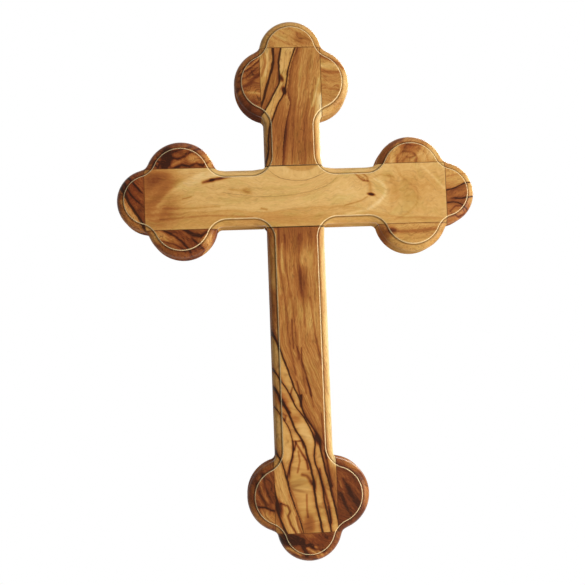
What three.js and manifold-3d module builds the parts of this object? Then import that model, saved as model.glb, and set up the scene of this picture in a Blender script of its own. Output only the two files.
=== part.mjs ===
// Budded cross for a wall, in olive wood: a post and a crossbar halved over each other, with three
// buds glued round each of the four ends. The glued-up blank is sawn to its outline, and a router
// with a bearing then works a stepped quarter round along the whole front edge.
//
// Millimetres, +Z up, +X to the viewer's right, the front faces -Y and the back lies at y = 0.
// The origin is the middle of the crossing, on the back.
import * as THREE from 'three';
import * as BufferGeometryUtils from 'three/addons/utils/BufferGeometryUtils.js';
import Module from 'manifold-3d';

const wasm = await Module();
wasm.setup();

// Sawn outline
const THICKNESS = 14.5;
const ARM_WIDTH = 26.3;
const SIDE_LOBE_RADIUS = 16.3;
const END_LOBE_RADIUS = 14.7;
const END_LOBE_STEP = 14.9; // the end lobe's centre past the side lobes' centres
const CROSSING_CORNER = 1.6;
const NECK_CORNER = 2.5; // where an arm's edge meets a side lobe
const CLEFT_CORNER = 2.5; // where a side lobe meets the end lobe

// Stock: the beams are wider than the sawn arms, so that the saw runs just outside no glue line
const SAW_ALLOWANCE = 1; // each side

// The crossing's centre to the side lobes' centres
const RIGHT_REACH = 54.5;
const TOP_REACH = 53.7;
const LEFT_REACH = 52.3;
const BOTTOM_REACH = 136.7;

// How far past those centres each beam is cut square for its end bud
const RIGHT_OVERHANG = 16;
const TOP_OVERHANG = 16.2;
const LEFT_OVERHANG = 16.6;
const BOTTOM_OVERHANG = 16.5;

// Side lobes' centres from the middle of their own trefoil. The cross was sawn by hand, so the
// trefoils differ a little.
const CROSSBAR_SPREAD = 10.8;
const TOP_SPREAD = 10.6;
const BOTTOM_SPREAD = 11.5;

// How far a trefoil was sawn off its beam's middle, both towards the viewer's right
const TOP_SIDEWAYS = 0.5;
const BOTTOM_SIDEWAYS = 1.3;

// Arms, anticlockwise from the right. sideways is to the right of the way outward.
const ARMS = {
  right: {
    turn: 0, reach: RIGHT_REACH, beamEnd: RIGHT_REACH + RIGHT_OVERHANG,
    spread: CROSSBAR_SPREAD, sideways: 0, sides: ['lower', 'upper'],
  },
  top: {
    turn: 90, reach: TOP_REACH, beamEnd: TOP_REACH + TOP_OVERHANG,
    spread: TOP_SPREAD, sideways: TOP_SIDEWAYS, sides: ['right', 'left'],
  },
  left: {
    turn: 180, reach: LEFT_REACH, beamEnd: LEFT_REACH + LEFT_OVERHANG,
    spread: CROSSBAR_SPREAD, sideways: 0, sides: ['upper', 'lower'],
  },
  bottom: {
    turn: 270, reach: BOTTOM_REACH, beamEnd: BOTTOM_REACH + BOTTOM_OVERHANG,
    spread: BOTTOM_SPREAD, sideways: -BOTTOM_SIDEWAYS, sides: ['left', 'right'],
  },
};

// Routed front edge
const STEP_DEPTH = 0.8;
const ROUND_WIDTH = 3.3;
const ROUND_DEPTH = 3.2; // below the step
const BEARING_RADIUS = 6.35;
const ROUND_FACETS = 6;

// Sawtooth hanger on the back of the top trefoil
const HANGER_LENGTH = 45;
const HANGER_HEIGHT = 8.5;
const HANGER_GAUGE = 0.8;
const HANGER_BRIDGE = 24; // length of the raised middle
const HANGER_RISE = 1.4;
const HANGER_RAMP = 1.5;
const NAIL_INSET = 3.75; // from the hanger's end
const TOOTH_PITCH = 2;
const TOOTH_DEPTH = 1.2;
const TOOTH_NOTCHES = 9;
const NAIL_SHANK = 1.3;
const NAIL_HEAD = 2.8;
const NAIL_HEAD_DEPTH = 0.6;
const NAIL_LENGTH = 9; // under the head
const NAIL_POINT = 1.6;
const NAIL_CLEARANCE = 0.3;

const FACET_ANGLE = THREE.MathUtils.degToRad(7.5);
const CUT_MARGIN = 2; // how far a cutting solid runs past what it cuts

const armHalf = ARM_WIDTH / 2;
const stockHalf = armHalf + SAW_ALLOWANCE;
const lapPlane = -THICKNESS / 2;

// The corner at the crossing stays inside the two beams' stock
const crossingCorner = Math.min(CROSSING_CORNER, SAW_ALLOWANCE / (1 - Math.SQRT1_2));
const sawnCorners = { crossing: crossingCorner, neck: NECK_CORNER, cleft: CLEFT_CORNER };

// The bearing can't reach into a corner tighter than itself
const guidedCorners = {};
for (const [place, radius] of Object.entries(sawnCorners)) {
  guidedCorners[place] = Math.max(radius, BEARING_RADIUS);
}

// Points of an arc: its two ends, and between them every whole facet angle
function arc(centre, radius, from, to) {
  const sense = Math.sign(to - from);
  const angles = [from];
  const least = FACET_ANGLE / 4;
  for (let k = Math.ceil(Math.min(from, to) / FACET_ANGLE); k * FACET_ANGLE < Math.max(from, to); k++) {
    const angle = k * FACET_ANGLE;
    if (Math.abs(angle - from) > least && Math.abs(angle - to) > least) angles.push(angle);
  }
  angles.push(to);
  angles.sort((a, b) => sense * (a - b));
  return angles.map((angle) => new THREE.Vector2(
    centre.x + radius * Math.cos(angle),
    centre.y + radius * Math.sin(angle),
  ));
}

// Angle of the direction from one centre to another, turned by whole turns to lie after a start
function heading(fromCentre, toCentre, start) {
  const angle = Math.atan2(toCentre.y - fromCentre.y, toCentre.x - fromCentre.x);
  return angle < start ? angle + 2 * Math.PI : angle;
}

// Centre of the round corner that touches two outer circles, on the right of the way from a to b
function cornerCentre(a, radiusA, b, radiusB, corner) {
  const way = new THREE.Vector2().subVectors(b, a);
  const span = way.length();
  const toA = radiusA + corner;
  const toB = radiusB + corner;
  const along = (toA ** 2 - toB ** 2 + span ** 2) / (2 * span);
  const aside = Math.sqrt(toA ** 2 - along ** 2);
  way.normalize();
  return new THREE.Vector2(a.x + way.x * along + way.y * aside, a.y + way.y * along - way.x * aside);
}

// Right-hand half of an arm's edge, from the crossing out to the tip. x is across the arm and y
// outward. The inset moves the edge inward, so lobes shrink and the hollow corners grow.
function armHalfEdge({ reach, spread }, sideways, corners, inset) {
  const lobe = new THREE.Vector2(spread + sideways, reach);
  const tip = new THREE.Vector2(sideways, reach + END_LOBE_STEP);
  const neckAcross = armHalf + corners.neck;
  const neckBack = Math.sqrt((SIDE_LOBE_RADIUS + corners.neck) ** 2 - (neckAcross - lobe.x) ** 2);
  const neck = new THREE.Vector2(neckAcross, reach - neckBack);
  const cleft = cornerCentre(lobe, SIDE_LOBE_RADIUS, tip, END_LOBE_RADIUS, corners.cleft);
  const half = Math.PI;
  return [
    ...arc(neck, corners.neck + inset, half, heading(neck, lobe, 0)),
    ...arc(lobe, SIDE_LOBE_RADIUS - inset, heading(lobe, neck, -half), heading(lobe, cleft, -half)),
    ...arc(cleft, corners.cleft + inset, heading(cleft, lobe, 0), heading(cleft, tip, 0)),
    ...arc(tip, END_LOBE_RADIUS - inset, heading(tip, cleft, -half), half / 2),
  ];
}

// Turns an arm's own point (across, outward) to the cross's front view (x, z)
function turned(point, turn) {
  const angle = THREE.MathUtils.degToRad(turn);
  const c = Math.round(Math.cos(angle));
  const s = Math.round(Math.sin(angle));
  return new THREE.Vector2(point.x * s + point.y * c, -point.x * c + point.y * s);
}

// Whole outline, anticlockwise as seen from the front
function outline(corners, inset) {
  const points = [];
  for (const arm of Object.values(ARMS)) {
    const { turn, sideways } = arm;
    const outward = armHalfEdge(arm, sideways, corners, inset);
    const other = armHalfEdge(arm, -sideways, corners, inset);
    const back = other.slice(0, -1).reverse().map((p) => new THREE.Vector2(-p.x, p.y));
    const centre = new THREE.Vector2(-(armHalf + corners.crossing), armHalf + corners.crossing);
    const corner = arc(centre, corners.crossing + inset, 0, -Math.PI / 2);
    points.push(...[...outward, ...back, ...corner].map((p) => turned(p, turn)));
  }
  return points.filter((p, i) => p.distanceTo(points.at(i - 1)) > 1e-6);
}

// Closed solid through rings of equal point counts, each at its own y, from the front to the back
function loft(rings) {
  const count = rings[0].points.length;
  const positions = rings.flatMap(({ points, y }) => points.flatMap((p) => [p.x, y, p.y]));
  const indices = [];
  for (let level = 0; level + 1 < rings.length; level++) {
    for (let i = 0; i < count; i++) {
      const a = level * count + i;
      const b = level * count + (i + 1) % count;
      indices.push(a, a + count, b + count, a, b + count, b);
    }
  }
  const lastStart = (rings.length - 1) * count;
  for (const [i, j, k] of THREE.ShapeUtils.triangulateShape(rings[0].points, [])) {
    indices.push(i, j, k);
  }
  for (const [i, j, k] of THREE.ShapeUtils.triangulateShape(rings.at(-1).points, [])) {
    indices.push(lastStart + i, lastStart + k, lastStart + j);
  }
  const geometry = new THREE.BufferGeometry();
  geometry.setAttribute('position', new THREE.Float32BufferAttribute(positions, 3));
  geometry.setIndex(indices);
  return geometry;
}

// three.js geometry to a solid that can be cut
function solid(geometry) {
  const bare = geometry.clone();
  bare.deleteAttribute('normal');
  bare.deleteAttribute('uv');
  const merged = BufferGeometryUtils.mergeVertices(bare, 1e-4);
  return new wasm.Manifold(new wasm.Mesh({
    numProp: 3,
    vertProperties: new Float32Array(merged.attributes.position.array),
    triVerts: new Uint32Array(merged.index.array),
  }));
}

// Solid back to a three.js geometry with flat shading
function geometryOf(manifold) {
  const { vertProperties, triVerts } = manifold.getMesh();
  const geometry = new THREE.BufferGeometry();
  geometry.setAttribute('position', new THREE.BufferAttribute(vertProperties, 3));
  geometry.setIndex(new THREE.BufferAttribute(triVerts, 1));
  return geometry;
}

// Box between two corners
function block(from, to) {
  const size = new THREE.Vector3().subVectors(to, from);
  const geometry = new THREE.BoxGeometry(size.x, size.y, size.z);
  geometry.translate((from.x + to.x) / 2, (from.y + to.y) / 2, (from.z + to.z) / 2);
  return solid(geometry);
}

// Full-depth box in an arm's own frame, between two (across, outward) corners
function armBlock(turn, from, to) {
  const a = turned(from, turn);
  const b = turned(to, turn);
  return block(
    new THREE.Vector3(Math.min(a.x, b.x), -THICKNESS - CUT_MARGIN, Math.min(a.y, b.y)),
    new THREE.Vector3(Math.max(a.x, b.x), CUT_MARGIN, Math.max(a.y, b.y)),
  );
}

// The blank after sawing and routing, still in one piece: sawn walls cut by the routed surface
function routedBlank() {
  const sawn = outline(sawnCorners, 0);
  const walls = loft([{ points: sawn, y: -THICKNESS - CUT_MARGIN }, { points: sawn, y: 0 }]);
  const guided = (inset, depth) => ({ points: outline(guidedCorners, inset), y: depth - THICKNESS });
  const overrun = 0.05; // the round ends just outside the wall, so that the two surfaces cross
  const rings = [guided(ROUND_WIDTH, 0), guided(ROUND_WIDTH, STEP_DEPTH)];
  for (let k = 1; k <= ROUND_FACETS; k++) {
    const angle = (k / ROUND_FACETS) * (Math.PI / 2);
    const inset = ROUND_WIDTH - (ROUND_WIDTH + overrun) * Math.sin(angle);
    rings.push(guided(inset, STEP_DEPTH + ROUND_DEPTH * (1 - Math.cos(angle))));
  }
  rings.push(guided(-CUT_MARGIN, STEP_DEPTH + ROUND_DEPTH + overrun));
  rings.push(guided(-CUT_MARGIN, THICKNESS + CUT_MARGIN));
  return solid(loft(rings)).intersect(solid(walls));
}

// Post and crossbar, each with half its depth taken out where they cross
function postBlock() {
  const { top, bottom } = ARMS;
  const stock = block(
    new THREE.Vector3(-stockHalf, -THICKNESS - CUT_MARGIN, -bottom.beamEnd),
    new THREE.Vector3(stockHalf, CUT_MARGIN, top.beamEnd),
  );
  const lap = block(
    new THREE.Vector3(-stockHalf - CUT_MARGIN, -THICKNESS - 2 * CUT_MARGIN, -stockHalf),
    new THREE.Vector3(stockHalf + CUT_MARGIN, lapPlane, stockHalf),
  );
  return stock.subtract(lap);
}

function crossbarBlock() {
  const { left, right } = ARMS;
  const stock = block(
    new THREE.Vector3(-left.beamEnd, -THICKNESS - CUT_MARGIN, -stockHalf),
    new THREE.Vector3(right.beamEnd, CUT_MARGIN, stockHalf),
  );
  const lap = block(
    new THREE.Vector3(-stockHalf, lapPlane, -stockHalf - CUT_MARGIN),
    new THREE.Vector3(stockHalf, 2 * CUT_MARGIN, stockHalf + CUT_MARGIN),
  );
  return stock.subtract(lap);
}

// Stock of a side bud on the right (1) or left (-1) of its arm, looking outward
function sideBudBlock({ turn, reach, beamEnd, spread, sideways }, side) {
  const inner = reach - SIDE_LOBE_RADIUS - NECK_CORNER - CUT_MARGIN;
  const outer = spread + side * sideways + SIDE_LOBE_RADIUS + CUT_MARGIN;
  return armBlock(
    turn,
    new THREE.Vector2(side * stockHalf, inner),
    new THREE.Vector2(side * outer, beamEnd),
  );
}

function endBudBlock({ turn, reach, beamEnd }) {
  const across = END_LOBE_RADIUS + SIDE_LOBE_RADIUS;
  return armBlock(
    turn,
    new THREE.Vector2(-across, beamEnd),
    new THREE.Vector2(across, reach + END_LOBE_STEP + END_LOBE_RADIUS + CUT_MARGIN),
  );
}

// Turns a profile (radius, height) round the Y axis at a place on the back
function turnedOnBack(profile, x, z) {
  const geometry = new THREE.LatheGeometry(profile.map(([r, y]) => new THREE.Vector2(r, y)), 16);
  return geometry.translate(x, 0, z);
}

const hangerZ = ARMS.top.reach;
const nailX = HANGER_LENGTH / 2 - NAIL_INSET;

// Hole for a nail, from past the hanger to just past the nail's point
function nailHole(x) {
  const radius = NAIL_SHANK / 2 + NAIL_CLEARANCE;
  const depth = NAIL_LENGTH - HANGER_GAUGE + NAIL_CLEARANCE;
  return solid(turnedOnBack([[0, -depth], [radius, -depth], [radius, CUT_MARGIN], [0, CUT_MARGIN]], x, hangerZ));
}

// Nail with a flat round head, driven until the head seats on the hanger's tab
function nail(x) {
  const seat = HANGER_GAUGE;
  const shank = NAIL_SHANK / 2;
  const head = NAIL_HEAD / 2;
  const point = seat - NAIL_LENGTH;
  return turnedOnBack([
    [0, point],
    [shank, point + NAIL_POINT],
    [shank, seat],
    [head, seat],
    [head, seat + NAIL_HEAD_DEPTH / 2],
    [head * 0.6, seat + NAIL_HEAD_DEPTH],
    [0, seat + NAIL_HEAD_DEPTH],
  ], x, hangerZ);
}

// Strip bent up in the middle, with round ends and a row of notches along the bridge's lower edge
function hangerPlate() {
  const end = HANGER_LENGTH / 2;
  const foot = HANGER_BRIDGE / 2 + HANGER_RAMP;
  const crest = HANGER_BRIDGE / 2;
  const under = [[-end, 0], [-foot, 0], [-crest, HANGER_RISE], [crest, HANGER_RISE], [foot, 0], [end, 0]];
  const over = under.map(([x, y]) => [x, y + HANGER_GAUGE]).reverse();
  const side = new THREE.Shape([...under, ...over].map(([x, y]) => new THREE.Vector2(x, y)));
  const strip = new THREE.ExtrudeGeometry(side, { depth: HANGER_HEIGHT, bevelEnabled: false });
  strip.translate(0, 0, hangerZ - HANGER_HEIGHT / 2);

  const low = -HANGER_HEIGHT / 2;
  const round = HANGER_HEIGHT / 2;
  const face = new THREE.Shape();
  face.moveTo(-end + round, low);
  for (let k = 0; k < TOOTH_NOTCHES; k++) {
    const x = (k - (TOOTH_NOTCHES - 1) / 2) * TOOTH_PITCH;
    face.lineTo(x - TOOTH_PITCH / 2, low);
    face.lineTo(x, low + TOOTH_DEPTH);
  }
  face.lineTo((TOOTH_NOTCHES * TOOTH_PITCH) / 2, low);
  face.lineTo(end - round, low);
  face.absarc(end - round, 0, round, -Math.PI / 2, Math.PI / 2);
  face.lineTo(-end + round, round);
  face.absarc(-end + round, 0, round, Math.PI / 2, (3 * Math.PI) / 2);
  const depth = HANGER_RISE + HANGER_GAUGE + 2 * CUT_MARGIN;
  const blank = new THREE.ExtrudeGeometry(face, { depth, bevelEnabled: false, curveSegments: 12 });
  blank.rotateX(Math.PI / 2);
  blank.translate(0, depth - CUT_MARGIN, hangerZ);
  return solid(strip).intersect(solid(blank)).subtract(nailHole(-nailX)).subtract(nailHole(nailX));
}

const cross = new THREE.Group();
cross.name = 'budded_cross';

function addPiece(name, geometry, color, roughness = 0.42, metalness = 0) {
  const material = new THREE.MeshStandardMaterial({ color, roughness, metalness, flatShading: true });
  const mesh = new THREE.Mesh(geometry, material);
  mesh.name = name;
  cross.add(mesh);
}

// Wood colours, from honey sapwood to the dark heart
const BUD_COLORS = {
  right: { end: 0x9a6a3c, upper: 0x9c6f3f, lower: 0xa0713c },
  top: { end: 0xb07f45, right: 0xb98a4f, left: 0x7c4f2d },
  left: { end: 0x74462a, upper: 0x7a4b2c, lower: 0x6f4328 },
  bottom: { end: 0x5f3a22, left: 0x6b4225, right: 0x5f3a24 },
};

const blank = routedBlank();
const steel = { color: 0xb9a46a, roughness: 0.35, metalness: 0.9 };

addPiece('post', geometryOf(blank.intersect(postBlock())), 0xa87640);
addPiece('crossbar', geometryOf(blank.intersect(crossbarBlock())), 0xc79a5b);
for (const [name, arm] of Object.entries(ARMS)) {
  arm.sides.forEach((side, index) => {
    const direction = index === 0 ? 1 : -1;
    let bud = blank.intersect(sideBudBlock(arm, direction));
    if (name === 'top') bud = bud.subtract(nailHole(direction * nailX));
    addPiece(`${name}_${side}_bud`, geometryOf(bud), BUD_COLORS[name][side]);
  });
  addPiece(`${name}_end_bud`, geometryOf(blank.intersect(endBudBlock(arm))), BUD_COLORS[name].end);
}
addPiece('hanger_plate', geometryOf(hangerPlate()), steel.color, steel.roughness, steel.metalness);
addPiece('hanger_nail_left', nail(-nailX), steel.color, steel.roughness, steel.metalness);
addPiece('hanger_nail_right', nail(nailX), steel.color, steel.roughness, steel.metalness);

export default cross;
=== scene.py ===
"""Budded cross for a wall, in varnished olive wood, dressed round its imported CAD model.

Lengths inside the functions are millimetres in the row frame: x to the viewer's right, y away from
the viewer, z up, with the origin at the middle of the crossing on the back. Meshes are in metres.
"""

import math
from types import SimpleNamespace
from typing import NamedTuple

import bmesh
import bpy
import numpy as np
from mathutils import Matrix, Vector


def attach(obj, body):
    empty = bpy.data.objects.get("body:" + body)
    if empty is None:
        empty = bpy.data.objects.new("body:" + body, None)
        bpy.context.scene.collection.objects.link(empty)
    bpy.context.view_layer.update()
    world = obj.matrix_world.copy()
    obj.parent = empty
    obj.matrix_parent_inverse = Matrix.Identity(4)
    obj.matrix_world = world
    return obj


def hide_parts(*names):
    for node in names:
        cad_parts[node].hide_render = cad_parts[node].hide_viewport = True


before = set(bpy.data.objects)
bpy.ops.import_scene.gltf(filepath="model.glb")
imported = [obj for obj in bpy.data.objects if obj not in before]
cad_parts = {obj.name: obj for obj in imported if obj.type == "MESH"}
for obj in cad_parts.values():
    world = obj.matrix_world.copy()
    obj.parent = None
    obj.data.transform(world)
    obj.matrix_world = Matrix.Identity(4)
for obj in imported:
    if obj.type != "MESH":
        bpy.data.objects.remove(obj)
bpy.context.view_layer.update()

bl_info = {
    "name": "Budded cross",
    "version": (1, 0, 0),
    "blender": (4, 5, 0),
    "location": "View3D > Sidebar > Cross",
    "description": "A glued-up olive wood cross with three buds at each end and a routed front edge",
    "category": "Add Mesh",
}

MM = 0.001


class Arm(NamedTuple):
    """One arm, looking outward."""

    turn: int  # quarter turns from the right
    reach: float  # the crossing's centre to the side lobes' centres
    end: float  # the crossing's centre to the beam's square end
    spread: float  # the side lobes' centres from their trefoil's middle
    sideways: float  # how far that middle lies to the right of the beam's
    sides: tuple  # the buds on the right and the left


ARMS = {
    "right": Arm(0, 54.5, 70.5, 10.8, 0, ("lower", "upper")),
    "top": Arm(1, 53.7, 69.9, 10.6, 0.5, ("right", "left")),
    "left": Arm(2, 52.3, 68.9, 10.8, 0, ("upper", "lower")),
    "bottom": Arm(3, 136.7, 153.2, 11.5, -1.3, ("left", "right")),
}
SAWN_CORNERS = (1.6, 2.5, 2.5)  # hollow corners at the crossing, neck and cleft
ARRIS = 0.5  # rounding of the routed step's front edge
BACK_ARRIS = 0.4  # easing of the back's edge
WALL_REACH = 4  # how far past the guided line the same hollow's sawn wall may lie

# Steps on each arc of the outline, and from front to back on the edge
ARC_STEPS = 160
ARRIS_STEPS = 4
ROUND_STEPS = 12
WALL_STEPS = 9
BACK_ARRIS_STEPS = 3
LEAST_TURN = 0.02  # radians from one level of the round to the next

# Grids: spacing along a beam, and points across it and on the buds
ROW_SPACING = 0.56
LEAST_ROW = 0.02
FACE_COLUMNS = 84
BACK_COLUMNS = 40
SIDE_BUD_ROWS = 130
SIDE_BUD_COLUMNS = 34
END_BUD_ROWS = 90
END_BUD_COLUMNS = 56

# Metres within which points are welded and slivers removed, and the least angle of a sharp edge
WELD = 2e-6
SLIVER = 1e-6
SHARP_ANGLE = math.radians(32)
SAME_PLACE = 1e-6  # samples along the edge that count as none


def linear(code):
    """Scene-linear colour of an sRGB hex code."""
    parts = [int(code[i:i + 2], 16) / 255 for i in (0, 2, 4)]
    return tuple(c / 12.92 if c <= 0.04045 else ((c + 0.055) / 1.055) ** 2.4 for c in parts)


def length_property(name, size, description):
    """A length property whose default is given in millimetres."""
    return bpy.props.FloatProperty(
        name=name, description=description, default=size * MM, min=0, unit="LENGTH", precision=5
    )


def colour_property(name, code, description):
    """A colour property whose default is given as sRGB hex."""
    return bpy.props.FloatVectorProperty(
        name=name, description=description, default=linear(code), size=3, min=0, max=1,
        subtype="COLOR",
    )


class CrossSizes(bpy.types.PropertyGroup):
    """Sizes of the sawn and routed cross."""

    thickness: length_property("Thickness", 14.5, "Front to back")
    arm_width: length_property("Arm width", 26.3, "Width of the sawn arms")
    stock_half: length_property("Half stock", 14.15, "Half the width of the unsawn beams")
    side_radius: length_property("Side lobe", 16.3, "Radius of a side lobe")
    end_radius: length_property("End lobe", 14.7, "Radius of an end lobe")
    end_step: length_property("End step", 14.9, "End lobe's centre past the side lobes' centres")
    bearing: length_property("Bearing", 6.35, "Radius of the router's bearing")
    step_depth: length_property("Step", 0.8, "Depth of the step before the quarter round")
    round_width: length_property("Round width", 3.3, "How far in the quarter round reaches")
    round_depth: length_property("Round depth", 3.2, "Depth of the quarter round below its step")


class CrossColours(bpy.types.PropertyGroup):
    """Colours of the wood and the hanger."""

    # Sapwood is also the colour of the painted highlight along the arris
    sapwood: colour_property("Sapwood", "F0D6A2", "Palest wood")
    honey: colour_property("Honey", "D5AB6A", "Pale golden wood")
    gold: colour_property("Gold", "C18F4C", "Golden wood")
    brown: colour_property("Brown", "A1642F", "Mid brown wood")
    russet: colour_property("Russet", "6E3517", "Red-brown heartwood")
    heart: colour_property("Heart", "2E0E03", "Darkest heartwood")
    # Vein is also the colour of the painted shade at the foot of the routed step
    vein: colour_property("Vein", "260900", "Dark growth lines")
    # Glue line is also the colour of the painted shade under the crossbar
    glue: colour_property("Glue line", "4A230A", "Glue squeezed out between two pieces")
    brass: colour_property("Brass plating", "B2924E", "Hanger's strip, and its dull film")
    film: colour_property("Dull brass", "8A6C38", "Film on the strip, and the nails")
    tarnish: colour_property("Tarnish", "5C482A", "Film on the nails")
    floor: colour_property("Floor", "E9E7E3", "Pale floor")


def in_mm(group):
    """The group's lengths in millimetres."""
    return SimpleNamespace(**{key: getattr(group, key) / MM for key in group.__annotations__})


# Outline and routed profile


def edge_arcs(size, arm, side, corners):
    """Arcs of the right (side 1) or left (-1, mirrored) half of an arm's edge, from the crossing
    to the tip: centre, radius, +1 hollow or -1 lobe, first and last angle. A point is across +
    i * outward in the arm's own plane. A hollow corner's centre lies one corner radius outside
    both of its neighbours."""
    crossing, neck, cleft = corners
    half = size.arm_width / 2
    lobe = complex(arm.spread + side * arm.sideways, arm.reach)
    tip = complex(side * arm.sideways, arm.reach + size.end_step)
    across = half + neck
    back = math.sqrt((size.side_radius + neck) ** 2 - (across - lobe.real) ** 2)
    neck_centre = complex(across, arm.reach - back)
    span = abs(tip - lobe)
    way = (tip - lobe) / span
    to_lobe = size.side_radius + cleft
    to_tip = size.end_radius + cleft
    along = (to_lobe ** 2 - to_tip ** 2 + span ** 2) / (2 * span)
    cleft_centre = lobe + way * complex(along, -math.sqrt(to_lobe ** 2 - along ** 2))

    def heading(a, b):
        return float(np.angle(b - a))

    turn = 2 * math.pi
    return [
        (complex(half + crossing, half + crossing), crossing, 1, 1.5 * math.pi, math.pi),
        (neck_centre, neck, 1, math.pi, heading(neck_centre, lobe)),
        (lobe, size.side_radius, -1, heading(lobe, neck_centre), heading(lobe, cleft_centre)),
        (cleft_centre, cleft, 1, heading(cleft_centre, lobe) % turn,
         heading(cleft_centre, tip) % turn),
        (tip, size.end_radius, -1, heading(tip, cleft_centre), math.pi / 2),
    ]


def edge_line(arcs, inset):
    """Points of the edge moved inward: lobes lose the inset from their radius, hollows gain it."""
    runs = []
    for centre, radius, sense, first, last in arcs:
        angle = np.linspace(first, last, ARC_STEPS)
        runs.append(centre + (radius + sense * inset) * np.exp(1j * angle))
    return np.concatenate(runs)


def profile(size, extra=()):
    """The routed edge from front to back: guided inset, wall inset and y of each level. The arris
    is a quarter circle, the round a quarter ellipse from the step's foot to the wall, and the
    back's edge a quarter circle. Extra insets add levels on the round."""
    front = -size.thickness
    foot = front + size.step_depth
    quarter = np.linspace(0, math.pi / 2, ARRIS_STEPS + 1)
    sweep = np.linspace(0, math.pi / 2, ROUND_STEPS + 1)
    more = np.arcsin(1 - np.clip(extra, 0, size.round_width) / size.round_width)
    apart = (np.abs(sweep[:, None] - more[None, :]) > LEAST_TURN).all(axis=1)
    sweep = np.sort(np.concatenate([sweep[apart], more]))
    wall_top = foot + size.round_depth
    wall = np.linspace(wall_top, -BACK_ARRIS, WALL_STEPS)[1:]
    back = np.linspace(0, math.pi / 2, BACK_ARRIS_STEPS + 1)[1:]
    rows = [
        (size.round_width + ARRIS * (1 - np.sin(quarter)), 0 * quarter,
         front + ARRIS * (1 - np.cos(quarter))),
        (size.round_width * (1 - np.sin(sweep)), 0 * sweep,
         foot + size.round_depth * (1 - np.cos(sweep))),
        (0 * wall, 0 * wall, wall),
        (0 * back, BACK_ARRIS * (1 - np.cos(back)), -BACK_ARRIS * (1 - np.sin(back))),
    ]
    return [np.concatenate(column) for column in zip(*rows)]


def bud_band(size, arm, side, levels):
    """Edge of the buds, level by level, from the neck to the tip, with rows square to the edge. In
    a hollow the bearing's corner is wider than the sawn one, so a level stops at whichever is
    further from the corner's centre: the guided line or the sawn wall on the same ray."""
    guided = edge_arcs(size, arm, side, (size.bearing,) * 3)[1:]
    sawn = edge_arcs(size, arm, side, SAWN_CORNERS)
    lines = []
    for inset, wall_inset, _ in levels:
        wall = edge_line(sawn, wall_inset)
        runs = []
        for centre, radius, sense, first, last in guided:
            angle = np.linspace(first, last, ARC_STEPS)
            if sense > 0:
                ray = wall - centre
                ray = ray[np.abs(ray) < radius + WALL_REACH]
                bearing = np.angle(ray) % (2 * math.pi)
                order = np.argsort(bearing)
                reached = np.interp(angle, bearing[order], np.abs(ray)[order])
                far = np.maximum(radius + inset, reached)
            else:
                far = radius - max(inset, wall_inset)
            runs.append(centre + far * np.exp(1j * angle))
        lines.append(np.concatenate(runs))
    return np.array(lines)


def cut_rows(lines, starts, ends, count):
    """Resamples each level between its own first and last place, evenly by the middle level's
    length: a whole band whose two ends lie exactly on the saw cuts."""
    middle = lines[len(lines) // 3]
    length = np.concatenate([[0], np.cumsum(np.abs(np.diff(middle)))])
    place = np.arange(len(middle))
    share = np.linspace(0, 1, count)
    cut = []
    for line, start, end in zip(lines, starts, ends):
        first = np.interp(start, place, length)
        last = np.interp(end, place, length)
        at = np.interp(first + (last - first) * share, length, place)
        cut.append(np.interp(at, place, line.real) + 1j * np.interp(at, place, line.imag))
    return np.array(cut).T


def first_place(values, rising):
    """Where a sampled run first passes zero, in samples, or its last sample if it never does."""
    positive = values > 0 if rising else values < 0
    if not positive.any():
        return len(values) - 1.0
    after = int(np.argmax(positive))
    if after == 0:
        return 0.0
    before = after - 1
    return before + values[before] / (values[before] - values[after])


# Meshes


def grid(points):
    """Quads of a grid of points, rows by columns, as corners of shape (quads, 4, 3)."""
    corners = [points[:-1, :-1], points[1:, :-1], points[1:, 1:], points[:-1, 1:]]
    return np.stack(corners, axis=2).reshape(-1, 4, 3)


def ruled(left, right, count):
    """Grid of straight lines between two matching runs of points."""
    share = np.linspace(0, 1, count)[None, :, None]
    return left[:, None] * (1 - share) + right[:, None] * share


def placed(point, y, turn):
    """Row-frame points from an arm's own plane (across + i * outward) at a depth, turned by
    quarter turns."""
    turned = point * -1j if turn == 0 else point * 1j ** (turn - 1)
    return np.stack([turned.real, y + 0 * turned.real, turned.imag], axis=-1)


def solid_mesh(name, grids, caps):
    """Closed mesh in metres from grids and flat caps, welded along their shared edges."""
    quads = np.concatenate([grid(points) for points in grids])
    corners = quads.reshape(-1, 3)
    faces = np.arange(len(corners)).reshape(-1, 4).tolist()
    start = len(corners)
    for cap in caps:
        faces.append(list(range(start, start + len(cap))))
        start += len(cap)
    points = np.concatenate([corners, *caps]) * MM
    mesh = bpy.data.meshes.new(name)
    mesh.from_pydata(points.tolist(), [], faces)
    form = bmesh.new()
    form.from_mesh(mesh)
    bmesh.ops.remove_doubles(form, verts=form.verts, dist=WELD)
    bmesh.ops.dissolve_degenerate(form, edges=form.edges, dist=SLIVER)
    bmesh.ops.recalc_face_normals(form, faces=form.faces)
    open_edges = sum(1 for edge in form.edges if len(edge.link_faces) != 2)
    form.to_mesh(mesh)
    form.free()
    if open_edges:
        raise ValueError(f"{name} has {open_edges} edges without two faces")
    mesh.shade_smooth()
    mesh.set_sharp_from_angle(angle=SHARP_ANGLE)
    piece = bpy.data.objects.new(name, mesh)
    bpy.context.scene.collection.objects.link(piece)
    return piece


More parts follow.
